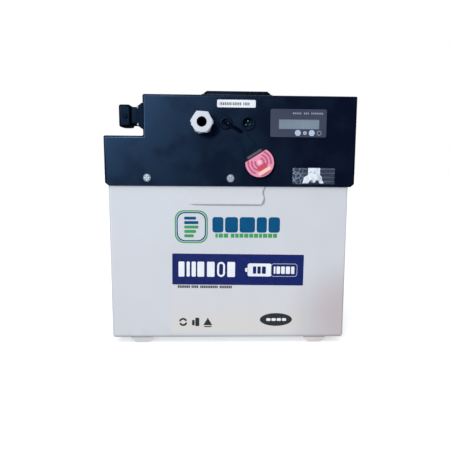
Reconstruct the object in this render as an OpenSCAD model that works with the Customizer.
// Deep cycle battery in a two-part steel case. A white tray holds eight prismatic cells in
// series; a dark cover screws over it and carries the protection board, a panel meter, a
// cable gland, a charging socket, a stick-on antenna, a capped discharge connector in the
// notch at the upper left, and a folding carry handle.
// Millimetres. +Z is up and the front faces -Y. The origin is on the floor, under the middle
// of the bounding box; the case itself is symmetric about X = 0.

/* [Case] */
// Width of the white tray
tray_w = 300; // [298:0.5:303]
// Depth of the tray, front to back
tray_d = 150; // [148.5:0.5:156]
// Height of tray wall that shows below the cover
tray_show_h = 196.5; // [196:0.5:205]
// How far the tray's rim reaches up inside the cover
rim_h = 20.5; // [19:0.5:21.5]
// Width of the cover
cover_w = 311; // [309:0.5:316]
// Height of the cover's front skirt
cover_h = 110.5; // [109:0.5:125]
// Width of the notch at the cover's upper left
notch_w = 48.3; // [46:0.1:49]
// Depth of the notch below the cover's top
notch_h = 49.6; // [48:0.1:50]
// Sheet thickness of both halves
sheet = 1.2; // [1:0.1:1.5]
// Outer radius of the sheet's bends
bend_r = 2.5; // [2:0.1:3]
// Outer radius of the bends round the tray's floor
floor_bend_r = 5.5; // [4:0.1:6]

/* [Skids] */
// Height of the skid rails
skid_h = 7; // [5:0.5:12]
// Width of a rail where it meets the tray
skid_top_w = 28; // [24:0.5:32]
// Width of a rail where it meets the floor
skid_foot_w = 14.5; // [10:0.5:20]
// Distance of each rail from the tray's middle
skid_x = 113; // [90:1:125]

/* [Front fittings] */
// Height of the row of fittings below the cover's top
fitting_drop = 33.5; // [33:0.1:34]
// Across flats of the gland's nut
gland_af = 24; // [23:0.5:26]
// Bore of the gland's nut
gland_bore = 12.2; // [12:0.1:14]
// Width of the meter's bezel
meter_w = 69; // [68:0.5:72]
// Height of the meter's bezel
meter_h = 33.6; // [33:0.1:36]
// Travel of the meter's buttons
button_travel = 1; // [0.6:0.1:1.2]
// Radius of the antenna
antenna_r = 18.6; // [17:0.1:20]

/* [Handle] */
// Length of the handle's grip
grip_l = 80; // [74:0.2:82]
// Radius of the grip
grip_r = 5.9; // [5:0.1:5.9]
// Distance from the handle's pivot to its grip
bail_l = 32; // [30:1:36]

/* [Hidden] */
$fn = 48;
cut = 1;

// Heights above the floor
tray_z = skid_h;
skirt_z = tray_z + tray_show_h;
rim_z = skirt_z + rim_h;
cover_z = skirt_z + cover_h;
notch_z = cover_z - notch_h;
fitting_z = cover_z - fitting_drop;

// Front faces of the two halves, before the whole case is moved along Y
cover_lap = 2.5;
face = -tray_d / 2 - cover_lap;
cover_d = tray_d + 2 * cover_lap;
notch_x = notch_w - cover_w / 2;
// The tray sits this far to the left of the cover's middle
tray_shift = 1.74;
tray_x = -tray_shift;

// Screws that hold the cover on the tray
screw_z = skirt_z + 10;
screw_pitch = 103.2;
screw_head_r = 4.7;
screw_head_h = 3.2;

// The case is moved along Y so that its foremost and rearmost points are equally far off
gland_reach = 25;
case_y = (gland_reach - screw_head_h) / 2;

// Eight cells in series
cell_count = 8;
cell_w = 36.35;
cell_d = 130.3;
cell_h = 200.5;
cell_gap = 0.4;
cell_pitch = cell_w + cell_gap;
floor_pad_h = 4;
cell_z = tray_z + sheet + floor_pad_h;
cell_top = cell_z + cell_h;
stack_w = cell_count * cell_pitch - cell_gap;
terminal_y = 43;
terminal_r = 8;
terminal_h = 3;
stud_r = 3;
stud_h = 12;
bar_h = 2;
bar_z = cell_top + terminal_h;
nut_h = 5;
end_plate_t = 1.5;
band_t = 0.4;
band_h = 16;
band_heights = [52, 162];
board_z = 227;
board_h = 1.5;
board_top = board_z + board_h;
lug_y = -27;
cable_r = 4;
foot_r = 4.8;
foot_h = 4;

// Protection board over the cells
bms_x = -10;
bms_w = 150;
bms_d = 60;
bms_z = board_top + 8;
bms_t = 1.6;
bms_top = bms_z + bms_t;
fuse_x = 97;
fuse_y = [3, 37];
fuse_h = 14;

// Front fittings
gland_x = -34.7;
gland_turn = -3.6;
gland_thread_r = 10;
grommet_x = -5.9;
socket_x = 21.1;
socket_r = 8.7;
socket_bore_r = 6.5;
socket_insert_r = 6.1;
socket_guide = 3.2;
meter_x = 83;
meter_t = 2.5;
window_w = 50;
window_h = 11.6;
window_rise = -0.7;
meter_rise = 0.5;
cutout_w = 66;
cutout_h = 31.8;
button_r = 3.7;
button_drop = 11.2;
button_x = [meter_x - 0.7, meter_x + 16.4];
antenna_x = 35.6;
antenna_z = cover_z - 81;
antenna_pad_t = 1;
antenna_t = 5;
neck_turn = 122;
neck_l = 42;
neck_t = 4.2;
lead_r = 2.1;

// Discharge connector on the notch's wall, and its cap
plug_y = -31;
plug_z = notch_z + 25.6;
flange_t = 9.4;
barrel_w = 24;
barrel_h = 23;
barrel_l = 22;
contact_y = 5.6;
cap_w = 33;
cap_h = 28.2;
cap_l = 15;
cap_x = notch_x - 33.9;
cap_button_r = 2.85;

// Handle
handle_x = 9.2;
pivot_y = 24;
pivot_z = cover_z + 6.2;
rod_r = 2.5;
bail_x = 46;
bail_bend = 5;
clearance = 0.06;

// Lead from the grommet to the antenna, then the cables inside the case
antenna_lead_route = [
    [-5.9, -64, 280.6], [-5.9, -72, 280.6], [-5.9, -78, 280.5], [-4.5, -82.4, 279.8],
    [-1, -84, 278], [4, -83.8, 275.4], [8.6, -82.6, 273], [11.9, -81.4, 270.6],
    [13.7, -80.7, 268.2], [14.6, -80.6, 266.4]
];
plus_to_fuse = [
    [126.9, -27, 220], [126.9, -27, 234], [122, -22, 248], [112, -12, 256],
    [101, -1, 260], [97, 3, 254], [97, 3, 246]
];
fuse_to_plug = [
    [97, 37, 246], [96, 38, 262], [82, 43, 281], [45, 46, 290], [0, 46, 291],
    [-45, 42, 291], [-72, 20, 290], [-78, -10, 290], [-83, -24, 290], [-91.5, -25.4, 290]
];
minus_to_board = [
    [-130.4, -27, 220], [-130.4, -27, 232], [-125, -22, 245], [-110, -10, 252],
    [-92, -1, 254], [-81, 4.5, 254], [-78, 6, 248], [-78, 6, 240]
];
board_to_plug = [
    [-78, -16, 240], [-77, -18, 254], [-75, -27, 272], [-79, -36, 287], [-91.5, -36.6, 290]
];
harness_route = [
    [56, 0, 243], [66, -6, 243], [74, -16, 240], [78, -22, 234], [78, -24, 227]
];

// ---- shapes ----

// Box between two opposite corners
module block(low, high) translate(low) cube(high - low);

// Round bar along Y, from its back end to its front end
module y_bar(x, z, r, back, front)
    translate([x, back, z]) rotate([90, 0, 0]) cylinder(r = r, h = back - front);

// Tapered round bar along Y
module y_cone(x, z, back_r, front_r, back, front)
    translate([x, back, z]) rotate([90, 0, 0]) cylinder(r1 = back_r, r2 = front_r, h = back - front);

// Hexagonal bar along Y, one corner pointing along X before it is turned
module y_hex(x, z, across_flats, back, front, turn = 0)
    translate([x, back, z]) rotate([90, 0, 0]) rotate([0, 0, turn])
        cylinder(r = across_flats / sqrt(3), h = back - front, $fn = 6);

// Round bar along X, from its left end to its right end
module x_bar(y, z, r, left, right)
    translate([left, y, z]) rotate([0, 90, 0]) cylinder(r = r, h = right - left);

// What a rounded corner takes off a square one at the origin
module corner_loss(r)
    difference() {
        translate([-cut, -cut]) square(r + cut);
        translate([r, r]) circle(r);
    }

// Rectangle between two corners, its lower and its upper corners rounded
module soft_rect(low, high, low_r, high_r)
    difference() {
        translate(low) square(high - low);
        if (low_r > 0) {
            translate(low) corner_loss(low_r);
            translate([high.x, low.y]) mirror([1, 0]) corner_loss(low_r);
        }
        if (high_r > 0) {
            translate([low.x, high.y]) mirror([0, 1]) corner_loss(high_r);
            translate(high) mirror([1, 0]) mirror([0, 1]) corner_loss(high_r);
        }
    }

// Box with rounded upright edges, and with rounded edges around its floor or its top
module soft_box(low, high, side_r, low_r, high_r)
    intersection() {
        translate([0, 0, low.z]) linear_extrude(high.z - low.z)
            soft_rect([low.x, low.y], [high.x, high.y], side_r, side_r);
        translate([low.x, 0, 0]) rotate([90, 0, 90]) linear_extrude(high.x - low.x)
            soft_rect([low.y, low.z], [high.y, high.z], low_r, high_r);
        translate([0, high.y, 0]) rotate([90, 0, 0]) linear_extrude(high.y - low.y)
            soft_rect([low.x, low.z], [high.x, high.z], low_r, high_r);
    }

// Plate that faces front, with four rounded corners, centred on x and z
module y_plate(x, z, w, h, r, back, front)
    translate([x, back, z]) rotate([90, 0, 0]) linear_extrude(back - front)
        soft_rect([-w / 2, -h / 2], [w / 2, h / 2], r, r);

// The same plate facing along X
module x_plate(y, z, w, h, r, left, right)
    translate([left, y, z]) rotate([90, 0, 90]) linear_extrude(right - left)
        soft_rect([-w / 2, -h / 2], [w / 2, h / 2], r, r);

// Pan-head screw that faces front, its head's seat at the given depth, with a cross recess
module pan_screw(x, z, seat, head_r, head_h, shank_r, shank_l) {
    rim = head_h * 0.45;
    slot = head_r * 0.24;
    difference() {
        union() {
            y_bar(x, z, shank_r, seat + shank_l, seat);
            y_bar(x, z, head_r, seat, seat - rim);
            y_cone(x, z, head_r, head_r * 0.62, seat - rim, seat - head_h);
        }
        for (turn = [45, 135])
            translate([x, seat - head_h / 2, z]) rotate([0, turn, 0])
                block([-head_r * 0.55, -head_h, -slot / 2], [head_r * 0.55, 0, slot / 2]);
    }
}

// ---- swept tubes ----

// Point on the smooth curve through four route points, t from 0 to 1 between b and c
function curve_point(a, b, c, d, t) =
    ((2 * b) + (c - a) * t + (2 * a - 5 * b + 4 * c - d) * t * t
    + (3 * b - a - 3 * c + d) * t * t * t) / 2;
function route_line(route, steps) = [
    for (i = [0 : len(route) - 2], s = [0 : steps - 1])
        curve_point(route[max(i - 1, 0)], route[i], route[i + 1],
                    route[min(i + 2, len(route) - 1)], s / steps),
    route[len(route) - 1]
];
function unit(v) = v / norm(v);
function heading(line, i) =
    unit(line[min(i + 1, len(line) - 1)] - line[max(i - 1, 0)]);
// The ring's first direction is carried along the line, so that the tube doesn't twist
function carry(side, ahead) = unit(side - (side * ahead) * ahead);
function sides_along(line, i = 0, side = [0.3, 0.9, 0.2]) =
    i == len(line) ? [] :
    let (now = carry(side, heading(line, i)))
    concat([now], sides_along(line, i + 1, now));

module tube(route, r, steps = 2, sides = 8) {
    line = route_line(route, steps);
    first = sides_along(line);
    rings = len(line);
    points = [
        for (i = [0 : rings - 1])
            let (u = first[i], v = cross(heading(line, i), first[i]))
            for (k = [0 : sides - 1])
                line[i] + r * (cos(k * 360 / sides) * u + sin(k * 360 / sides) * v)
    ];
    walls = [
        for (i = [0 : rings - 2], k = [0 : sides - 1])
            let (n = (k + 1) % sides)
            [i * sides + k, (i + 1) * sides + k, (i + 1) * sides + n, i * sides + n]
    ];
    start = [[for (k = [0 : sides - 1]) k]];
    end = [[for (k = [sides - 1 : -1 : 0]) (rings - 1) * sides + k]];
    polyhedron(points, concat(walls, start, end));
}

// Everything is drawn about the case's own middle and then moved along Y
module in_case() translate([0, case_y, 0]) children();

function cell_x(i) = tray_x + (i - (cell_count + 1) / 2) * cell_pitch;

// ---- case ----

module tray_shape(inset)
    soft_box([tray_x - tray_w / 2 + inset, -tray_d / 2 + inset, tray_z + inset],
             [tray_x + tray_w / 2 - inset, tray_d / 2 - inset, rim_z + (inset > 0 ? cut : 0)],
             bend_r + 0.5 - inset, floor_bend_r - inset, 0);

module skid_rivet_places()
    for (x = [-skid_x, skid_x], y = [-50, 50])
        translate([tray_x + x, y, 0]) children();

module tray() color("gainsboro") in_case()
    difference() {
        tray_shape(0);
        tray_shape(sheet);
        for (x = [-screw_pitch, 0, screw_pitch])
            y_bar(x, screw_z, 3.5, tray_d, -tray_d);
        skid_rivet_places() cylinder(r = 2, h = 20);
    }

module skid(x) color("gainsboro") in_case()
    difference() {
        translate([tray_x + x, tray_d / 2 - 3, 0]) rotate([90, 0, 0])
            linear_extrude(tray_d - 6)
                polygon([
                    [-skid_foot_w / 2, 0], [skid_foot_w / 2, 0],
                    [skid_top_w / 2, skid_h - 1.2], [skid_top_w / 2, skid_h],
                    [-skid_top_w / 2, skid_h], [-skid_top_w / 2, skid_h - 1.2]
                ]);
        skid_rivet_places() {
            cylinder(r = 2, h = 20);
            translate([0, 0, -cut]) cylinder(r = 4.2, h = cut + 2.4);
        }
    }

module skid_rivets() color("silver") in_case()
    skid_rivet_places() {
        translate([0, 0, 0.8]) cylinder(r = 4, h = 1.6);
        translate([0, 0, 2.4]) cylinder(r = 2, h = tray_z + sheet - 2.4);
        translate([0, 0, tray_z + sheet]) cylinder(r = 3, h = 2.5);
    }

module cover_shape(inset) {
    r = bend_r - inset;
    low = skirt_z - (inset > 0 ? cut : 0);
    soft_box([notch_x + inset, face + inset, low],
             [cover_w / 2 - inset, -face - inset, cover_z - inset], r, 0, r);
    soft_box([-cover_w / 2 + inset, face + inset, low],
             [notch_x + 20, -face - inset, notch_z - inset], r, 0, r);
}

// Material left in the notch's inner corner by the bend
module notch_bend(r = 2)
    translate([notch_x, -face - bend_r, notch_z]) rotate([90, 0, 0])
        linear_extrude(cover_d - 2 * bend_r)
            difference() {
                translate([-r, -sheet / 2]) square([r + sheet / 2, r + sheet / 2]);
                translate([-r, r]) circle(r);
            }

// The skirt's lower corners are cut at a slant, and its sides end above the front's edge
module skirt_corner(side, w = 5, h = 4)
    translate([side * cover_w / 2, -face + cut, skirt_z]) rotate([90, 0, 0])
        linear_extrude(cover_d + 2 * cut)
            polygon([
                [-side * w, -cut], [-side * w, 0], [0, h], [side * cut, h], [side * cut, -cut]
            ]);

module handle_rivet_places()
    for (side = [-1, 1], y = [-4.6, 4.6])
        translate([handle_x + side * 20, pivot_y + y, 0]) children();

module cover() color("#101a30") in_case()
    difference() {
        union() {
            difference() {
                cover_shape(0);
                cover_shape(sheet);
            }
            notch_bend();
        }
        for (side = [-1, 1]) skirt_corner(side);
        for (x = [-screw_pitch, 0, screw_pitch])
            y_bar(x, screw_z, 2.7, tray_d, -tray_d);
        y_bar(gland_x, fitting_z, gland_thread_r + 0.1, 0, 2 * face);
        y_bar(grommet_x, fitting_z, 7, 0, 2 * face);
        y_bar(socket_x, fitting_z, 8, 0, 2 * face);
        y_plate(meter_x, meter_z, cutout_w, cutout_h, 1.5, 0, 2 * face);
        x_plate(plug_y, plug_z, barrel_w, barrel_h, 3, notch_x - 5, notch_x + 5);
        handle_rivet_places() translate([0, 0, cover_z - 5]) cylinder(r = 2.1, h = 10);
    }

module rim_gasket() color("#202226") in_case()
    difference() {
        soft_box([-cover_w / 2 + sheet, face + sheet, rim_z - 4],
                 [cover_w / 2 - sheet, -face - sheet, rim_z], bend_r - sheet, 0, 0);
        tray_shape(0);
    }

// Front screws, then the same three at the back
module both_faces() {
    children();
    rotate([0, 0, 180]) children();
}

module cover_screws() color("silver") in_case()
    both_faces()
        for (x = [-screw_pitch, 0, screw_pitch])
            pan_screw(x, screw_z, face, screw_head_r, screw_head_h, 2.5, 11);

module rivet_nuts() color("goldenrod") in_case()
    both_faces()
        for (x = [-screw_pitch, 0, screw_pitch])
            difference() {
                union() {
                    y_bar(x, screw_z, 5, -tray_d / 2, face + sheet);
                    y_bar(x, screw_z, 3.5, -tray_d / 2 + 9, -tray_d / 2);
                    y_bar(x, screw_z, 4.4, -tray_d / 2 + 5, -tray_d / 2 + sheet);
                }
                y_bar(x, screw_z, 2.5, 0, 2 * face);
            }

// ---- cells ----

module cell(i) color("#2f5fb0") in_case() {
    x = cell_x(i);
    soft_box([x - cell_w / 2, -cell_d / 2, cell_z], [x + cell_w / 2, cell_d / 2, cell_top],
             2, 0, 0);
    for (y = [-terminal_y, terminal_y]) translate([x, y, cell_top]) {
        cylinder(r = terminal_r, h = terminal_h);
        cylinder(r = stud_r, h = stud_h);
    }
}

module cell_sheets() color("khaki") in_case()
    for (i = [1 : cell_count - 1]) {
        x = cell_x(i) + cell_w / 2;
        block([x, -cell_d / 2 + 2, cell_z], [x + cell_gap, cell_d / 2 - 2, cell_top - 1]);
    }

module end_plates() color("darkseagreen") in_case()
    for (side = [-1, 1]) translate([tray_x, 0, 0]) {
        near = side * stack_w / 2;
        far = near + side * end_plate_t;
        block([min(near, far), -cell_d / 2, cell_z], [max(near, far), cell_d / 2, cell_top]);
    }

module strap_bands() color("steelblue") in_case()
    for (z = band_heights) {
        half_w = stack_w / 2 + end_plate_t;
        half_d = cell_d / 2;
        difference() {
            block([tray_x - half_w - band_t, -half_d - band_t, z],
                  [tray_x + half_w + band_t, half_d + band_t, z + band_h]);
            block([tray_x - half_w, -half_d, z - cut],
                  [tray_x + half_w, half_d, z + band_h + cut]);
        }
    }

module floor_pad() color("#3a3d40") in_case()
    difference() {
        block([tray_x - 140, -66, tray_z + sheet], [tray_x + 140, 66, cell_z]);
        skid_rivet_places() cylinder(r = 5, h = 20);
    }

module side_pads() color("#3a3d40") in_case()
    both_faces()
        difference() {
            block([-138, -tray_d / 2 + sheet + 0.1, cell_z + 2],
                  [138, -cell_d / 2 - band_t, board_z]);
            for (x = [-screw_pitch, 0, screw_pitch])
                y_bar(x, screw_z, 6, 0, 2 * face);
        }

module busbars() color("#c07a45") in_case()
    for (i = [1 : cell_count - 1]) {
        y = i % 2 == 1 ? terminal_y : -terminal_y;
        left = cell_x(i);
        right = cell_x(i + 1);
        difference() {
            soft_box([left - 9, y - 9, bar_z], [right + 9, y + 9, bar_z + bar_h], 4, 0, 0);
            for (x = [left, right]) translate([x, y, bar_z - cut]) cylinder(r = 3.2, h = 4);
        }
    }

module terminal_nuts() color("silver") in_case()
    for (i = [1 : cell_count], y = [-terminal_y, terminal_y])
        translate([cell_x(i), y, bar_z + bar_h]) difference() {
            cylinder(r = 10 / sqrt(3), h = nut_h, $fn = 6);
            translate([0, 0, -cut]) cylinder(r = stud_r, h = nut_h + 2 * cut);
        }

module cover_board() color("#d8cfa0") in_case()
    difference() {
        block([tray_x - 146, -73, board_z], [tray_x + 146, 73, board_top]);
        for (i = [1, cell_count])
            translate([cell_x(i), lug_y, board_z - cut]) cylinder(r = 6, h = 5);
        translate([78, -24, board_z - cut]) cylinder(r = 4, h = 5);
    }

// ---- protection board, fuse and cables ----

module bms_corners()
    for (x = [-bms_w / 2 + 5, bms_w / 2 - 5], y = [-bms_d / 2 + 5, bms_d / 2 - 5])
        translate([bms_x + x, y, 0]) children();

module bms_board() color("darkgreen") in_case()
    block([bms_x - bms_w / 2, -bms_d / 2, bms_z], [bms_x + bms_w / 2, bms_d / 2, bms_top]);

module bms_heatsink() color("silver") in_case() {
    block([-60, -26, bms_top], [44, 26, bms_top + 3]);
    for (i = [0 : 8]) {
        y = -25.5 + i * 6;
        block([-60, y, bms_top + 3], [44, y + 1.6, bms_top + 13]);
    }
}

module bms_standoffs() color("goldenrod") in_case()
    bms_corners() translate([0, 0, board_top]) cylinder(r = 3.4, h = bms_z - board_top);

module fuse_block() color("#303236") in_case() {
    soft_box([fuse_x - 12, -8, board_top], [fuse_x + 12, 48, board_top + fuse_h - 2], 3, 0, 0);
    for (y = fuse_y) translate([fuse_x, y, board_top + fuse_h - 2]) {
        cylinder(r = 7, h = 2);
        cylinder(r = 3, h = 4);
    }
}

// Ring lug on a cell's stud; its tongue reaches back to the cable's foot
module cell_lug(x)
    difference() {
        union() {
            translate([x, -terminal_y, bar_z]) cylinder(r = 8, h = bar_h);
            block([x - 5, -terminal_y, bar_z], [x + 5, lug_y + 5, bar_z + bar_h]);
        }
        translate([x, -terminal_y, bar_z - cut]) cylinder(r = 3.2, h = 5);
    }

// Short barrel in which a cable ends, standing on the face that it is joined to
module cable_foot(x, y, z) translate([x, y, z]) cylinder(r = foot_r, h = foot_h);
module plug_foot(side)
    x_bar(plug_y + side * contact_y, plug_z, foot_r, plug_back + 2, plug_back + 2 + foot_h);

module cable_positive() color("firebrick") in_case() {
    cell_lug(cell_x(cell_count));
    cable_foot(cell_x(cell_count), lug_y, bar_z + bar_h);
    tube(plus_to_fuse, cable_r);
    for (y = fuse_y) cable_foot(fuse_x, y, board_top + fuse_h + 2);
    tube(fuse_to_plug, cable_r);
    plug_foot(1);
}

module cable_negative() color("#1c1c1e") in_case() {
    cell_lug(cell_x(1));
    cable_foot(cell_x(1), lug_y, bar_z + bar_h);
    tube(minus_to_board, cable_r);
    for (y = [-16, 6]) cable_foot(-78, y, bms_top);
    tube(board_to_plug, cable_r);
    plug_foot(-1);
}

module balance_harness() color("ivory") in_case() {
    block([48, -9, bms_top], [56, 9, bms_top + 8]);
    tube(harness_route, 2.2);
    block([-128, -24, board_z - 1.6], [82, -14, board_z]);
}

// ---- panel meter ----

meter_z = fitting_z + meter_rise;
window_z = fitting_z + window_rise;
button_z = fitting_z - button_drop;
flange_r = button_r + 0.4;
switch_y = face + 2.5 + button_travel;

module meter_bezel() color("#464a60") in_case()
    difference() {
        y_plate(meter_x, meter_z, meter_w, meter_h, 2, face, face - meter_t);
        y_plate(meter_x + 0.7, window_z, window_w, window_h, 1, 0, 2 * face);
        for (x = button_x)
            y_bar(x, button_z, button_r + clearance, 0, 2 * face);
    }

module meter_housing() color("#26282c") in_case()
    difference() {
        y_plate(meter_x, meter_z, cutout_w - 0.6, cutout_h - 0.6, 1.5, face + 18, face);
        y_plate(meter_x, meter_z, cutout_w - 3, cutout_h - 3, 1, face + 16, face - cut);
        for (x = button_x)
            y_bar(x, button_z, flange_r + 0.2, face + 5, face - cut);
    }

// The display's glass fills the bezel's window and stands on its module behind
module meter_display() color("#82919f") in_case() {
    y_plate(meter_x + 0.7, window_z, window_w, window_h, 1, face, face - meter_t + 0.6);
    y_plate(meter_x + 0.7, window_z + 0.8, 54, window_h + 1.2, 1, face + 4, face);
}

// Circuit board with a switch behind each button
module meter_board() color("darkgreen") in_case() {
    y_plate(meter_x, meter_z, 60, 28, 1, switch_y + 3, switch_y + 1.4);
    for (x = button_x) y_bar(x, button_z, 2, switch_y + 1.4, switch_y);
}

// A push button stands proud of the bezel. Its flange stops it from falling out, and its
// foot meets the switch at the end of its travel
module meter_button(x) color("#c4d4e6") in_case() {
    y_bar(x, button_z, button_r, face, face - meter_t - 1.2);
    y_bar(x, button_z, flange_r, face + 1, face);
    y_bar(x, button_z, 2, face + 2.4, face + 1);
}

// ---- cable gland ----

module gland_washer() color("#1b1b1d") in_case()
    difference() {
        y_bar(gland_x, fitting_z, 13.4, face, face - 1.2);
        y_bar(gland_x, fitting_z, gland_thread_r, 0, 2 * face);
    }

module gland_body() color("#c9ccd0") in_case()
    difference() {
        union() {
            y_bar(gland_x, fitting_z, gland_thread_r, face + 12, face - 22);
            y_hex(gland_x, fitting_z, gland_af, face - 1.2, face - 7.4, gland_turn + 14);
        }
        y_bar(gland_x, fitting_z, 7.5, 0, 2 * face);
    }

// Its mouth flares behind the nut's lip
module gland_seal() color("#6e1f24") in_case()
    difference() {
        y_bar(gland_x, fitting_z, 7.5, face - 10, face - 21.8);
        y_bar(gland_x, fitting_z, 5.4, 0, 2 * face);
        y_cone(gland_x, fitting_z, 5.4, 7, face - 20, face - 21.81);
    }

// The nut's front corners are turned down at a slant
module gland_nut() color("#d4d7db") in_case() {
    front = face - gland_reach;
    corner_r = gland_af / sqrt(3);
    difference() {
        intersection() {
            y_hex(gland_x, fitting_z, gland_af, face - 8, front, gland_turn);
            union() {
                y_bar(gland_x, fitting_z, corner_r + 1, face - 7, front + 2.4);
                y_cone(gland_x, fitting_z, corner_r, corner_r - 1.8, front + 2.4, front - 0.01);
            }
        }
        y_bar(gland_x, fitting_z, gland_thread_r + clearance, 0, face - 22.3);
        y_bar(gland_x, fitting_z, gland_bore / 2, 0, 2 * face);
    }
}

module gland_locknut() color("#c9ccd0") in_case()
    difference() {
        y_hex(gland_x, fitting_z, 26, face + sheet + 5, face + sheet);
        y_bar(gland_x, fitting_z, gland_thread_r, 0, 2 * face);
    }

// ---- charging socket ----

module socket_shell() color("#15171c") in_case()
    difference() {
        union() {
            y_bar(socket_x, fitting_z, socket_r, face, face - 1.4);
            y_cone(socket_x, fitting_z, socket_r, socket_r - 0.7, face - 1.4, face - 2.2);
            y_bar(socket_x, fitting_z, 7.9, face + 15, face);
        }
        y_bar(socket_x, fitting_z, socket_bore_r, face + socket_guide, 2 * face);
        y_bar(socket_x, fitting_z, socket_insert_r, 0, face + socket_guide - cut);
    }

module socket_insert() color("#0d0e10") in_case()
    y_bar(socket_x, fitting_z, socket_insert_r, face + 13, face + 8);

module socket_pins() color("#d8c48a") in_case()
    for (turn = [90, 210, 330])
        y_bar(socket_x + 3 * cos(turn), fitting_z + 3 * sin(turn), 0.9, face + 8, face + 3.4);

module socket_nut() color("silver") in_case()
    difference() {
        y_hex(socket_x, fitting_z, 21, face + sheet + 4, face + sheet);
        y_bar(socket_x, fitting_z, 7.9, 0, 2 * face);
    }

// ---- antenna, its lead and its grommet ----

module grommet() color("#101114") in_case()
    difference() {
        union() {
            y_bar(grommet_x, fitting_z, 8, face, face - 1.4);
            y_cone(grommet_x, fitting_z, 8, 7, face - 1.4, face - 2.2);
            y_bar(grommet_x, fitting_z, 7, face + sheet, face);
            y_bar(grommet_x, fitting_z, 8, face + sheet + 2, face + sheet);
        }
        y_bar(grommet_x, fitting_z, 4.8, face + 1.6, 2 * face);
        y_bar(grommet_x, fitting_z, lead_r + 0.15, 0, 2 * face);
    }

module antenna_pad() color("#202226") in_case()
    y_bar(antenna_x, antenna_z, antenna_r - 1.2, face, face - antenna_pad_t);

antenna_back = face - antenna_pad_t;
antenna_front = antenna_back - antenna_t;
label_r = antenna_r - 1;
label_chord = 9.5;

// Half plane of the antenna's face below the header, in the neck's own direction
module below_header(back, front)
    translate([antenna_x, 0, antenna_z]) rotate([0, -neck_turn, 0])
        block([-2 * antenna_r, front, -2 * antenna_r], [label_chord, back, 2 * antenna_r]);

// A disc with a neck that tapers to where the lead goes in
module antenna_case() color("#17181b") in_case()
    difference() {
        union() {
            y_bar(antenna_x, antenna_z, antenna_r, antenna_back, antenna_front + 0.8);
            y_cone(antenna_x, antenna_z, antenna_r, antenna_r - 0.8, antenna_front + 0.8,
                   antenna_front);
            translate([antenna_x, antenna_back, antenna_z]) rotate([90, 0, 0])
                rotate([0, 0, neck_turn]) linear_extrude(neck_t) union() {
                    polygon([[12, -8.4], [neck_l - 2, -3.6], [neck_l - 2, 3.6], [12, 8.4]]);
                    translate([neck_l - 3.6, 0]) circle(3.9);
                }
        }
        intersection() {
            y_bar(antenna_x, antenna_z, label_r + 0.1, antenna_front + 0.5,
                  antenna_front - cut);
            below_header(antenna_front + 0.5, antenna_front - cut);
        }
    }

module antenna_face() color("#f08cb4") in_case()
    intersection() {
        y_bar(antenna_x, antenna_z, label_r, antenna_front + 0.5, antenna_front + 0.1);
        below_header(antenna_front + 0.5, antenna_front + 0.1);
    }

module antenna_lead() color("#0f1012") in_case()
    tube(antenna_lead_route, lead_r, 4, 12);

// ---- discharge connector and its cap ----

plug_back = notch_x + 12;

module connector_screw_places()
    for (y = [-14.6, 14.6], z = [-10.8, 10.8])
        translate([0, plug_y + y, plug_z + z]) children();

// A flange with slanted upper and lower edges, and the barrel that the plug goes over
module connector_housing() color("#16181d") in_case()
    difference() {
        union() {
            translate([notch_x, plug_y + 17, plug_z]) rotate([90, 0, 0]) linear_extrude(34)
                polygon([
                    [0, -16], [0, 16], [4.4 - flange_t, 16], [-flange_t, 12.6],
                    [-flange_t, -12.6], [4.4 - flange_t, -16]
                ]);
            x_plate(plug_y, plug_z, barrel_w, barrel_h, 3, notch_x - flange_t - barrel_l,
                    plug_back);
        }
        for (side = [-1, 1])
            x_bar(plug_y + side * contact_y, plug_z, 4.2, notch_x - flange_t - barrel_l - cut,
                  notch_x - 4);
        connector_screw_places() x_bar(0, 0, 1.5, notch_x - 20, notch_x);
    }

module connector_contacts() color("#c9a25a") in_case()
    for (side = [-1, 1]) {
        x_bar(plug_y + side * contact_y, plug_z, 2.6, notch_x - flange_t - 14, notch_x - 4);
        x_bar(plug_y + side * contact_y, plug_z, 4, plug_back, plug_back + 2);
    }

module connector_screws() color("silver") in_case()
    connector_screw_places()
        translate([notch_x - flange_t, 0, 0]) rotate([0, 0, -90])
            pan_screw(0, 0, 0, 2.2, 1.8, 1.5, 8);

// The cap slips over the barrel and is pulled off to the left
module dust_cap() color("#121419") in_case()
    difference() {
        soft_box([cap_x, plug_y - cap_w / 2, plug_z - cap_h / 2],
                 [cap_x + cap_l, plug_y + cap_w / 2, plug_z + cap_h / 2], 2.6, 3.4, 3.4);
        x_plate(plug_y, plug_z, barrel_w + 0.6, barrel_h + 0.6, 3.3,
                notch_x - flange_t - barrel_l - 0.3, 0);
        y_bar(cap_x + 7.8, plug_z - 0.6, cap_button_r + clearance, plug_y - cap_w / 2 + 3,
              2 * face);
    }

// Push button that lets the cap go
module cap_button() color("#1c1f26") in_case() {
    cap_face = plug_y - cap_w / 2;
    y_bar(cap_x + 7.8, plug_z - 0.6, cap_button_r, cap_face + 1.7, cap_face - 1);
    y_cone(cap_x + 7.8, plug_z - 0.6, cap_button_r, cap_button_r - 0.7, cap_face - 1,
           cap_face - 1.5);
}

// ---- handle ----

// Quarter bend of the rod, from its end on the X side to its end on the Y side
module rod_bend()
    rotate_extrude(angle = 90) translate([bail_bend, 0]) circle(rod_r);

// Front run of the rod with its two bends
module rod_front() {
    straight = bail_x - bail_bend;
    x_bar(-bail_l, 0, rod_r, -straight, straight);
    for (side = [0, 1]) mirror([side, 0, 0])
        translate([straight, -bail_l + bail_bend, 0]) mirror([0, 1, 0]) rod_bend();
}

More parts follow.
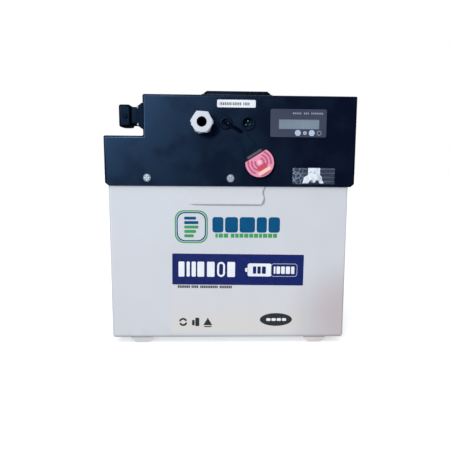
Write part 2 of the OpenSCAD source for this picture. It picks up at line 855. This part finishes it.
module handle_bail() color("silver") in_case()
    translate([handle_x, pivot_y, pivot_z]) {
        straight = bail_x - bail_bend;
        rod_front();
        for (side = [0, 1]) mirror([side, 0, 0]) {
            translate([bail_x, -bail_bend, 0]) rotate([90, 0, 0])
                cylinder(r = rod_r, h = bail_l - 2 * bail_bend);
            translate([straight, -bail_bend, 0]) rod_bend();
            x_bar(0, 0, rod_r, 30, straight);
            x_bar(0, 0, 3.5, 29, 31.5);
        }
    }

// Grip moulded round the rod, with slanting ends
module handle_grip() color("#17181b") in_case()
    translate([handle_x, pivot_y, pivot_z])
        difference() {
            union() {
                x_bar(-bail_l, 0, grip_r, -grip_l / 2, grip_l / 2);
                for (side = [0, 1]) mirror([side, 0, 0])
                    translate([grip_l / 2, -bail_l, 0]) rotate([0, 90, 0])
                        cylinder(r1 = grip_r, r2 = 3.2, h = 4);
            }
            rod_front();
        }

module handle_brackets() color("silver") in_case()
    translate([handle_x, pivot_y, cover_z])
        for (side = [0, 1]) mirror([side, 0, 0])
            difference() {
                union() {
                    soft_box([13, -9, 0], [36, 9, 2.5], 2, 0, 0);
                    x_plate(0, 5.6, 12, 11.2, 3, 33, 36);
                }
                x_bar(0, pivot_z - cover_z, rod_r + clearance, 32, 37);
                for (y = [-4.6, 4.6]) translate([20, y, -cut]) cylinder(r = 2.1, h = 5);
            }

module handle_rivets() color("silver") in_case()
    handle_rivet_places() {
        translate([0, 0, cover_z + 2.5]) cylinder(r1 = 4, r2 = 2.6, h = 1.8);
        translate([0, 0, cover_z - sheet]) cylinder(r = 2.1, h = sheet + 2.5);
        translate([0, 0, cover_z - sheet - 2]) cylinder(r = 3.2, h = 2);
    }

// ---- nodes ----

tray();
skid(-skid_x);  // skid_left
skid(skid_x);  // skid_right
skid_rivets();
cover();
rim_gasket();
cover_screws();
rivet_nuts();
for (i = [1 : cell_count]) cell(i);
cell_sheets();
end_plates();
strap_bands();
floor_pad();
side_pads();
busbars();
terminal_nuts();
cover_board();
bms_board();
bms_heatsink();
bms_standoffs();
fuse_block();
cable_positive();
cable_negative();
balance_harness();
meter_bezel();
meter_housing();
meter_display();
meter_board();
meter_button(button_x[0]);  // button_left
meter_button(button_x[1]);  // button_right
gland_washer();
gland_body();
gland_seal();
gland_nut();
gland_locknut();
socket_shell();
socket_insert();
socket_pins();
socket_nut();
grommet();
antenna_pad();
antenna_case();
antenna_face();
antenna_lead();
connector_housing();
connector_contacts();
connector_screws();
dust_cap();
cap_button();
handle_bail();
handle_grip();
handle_brackets();
handle_rivets();
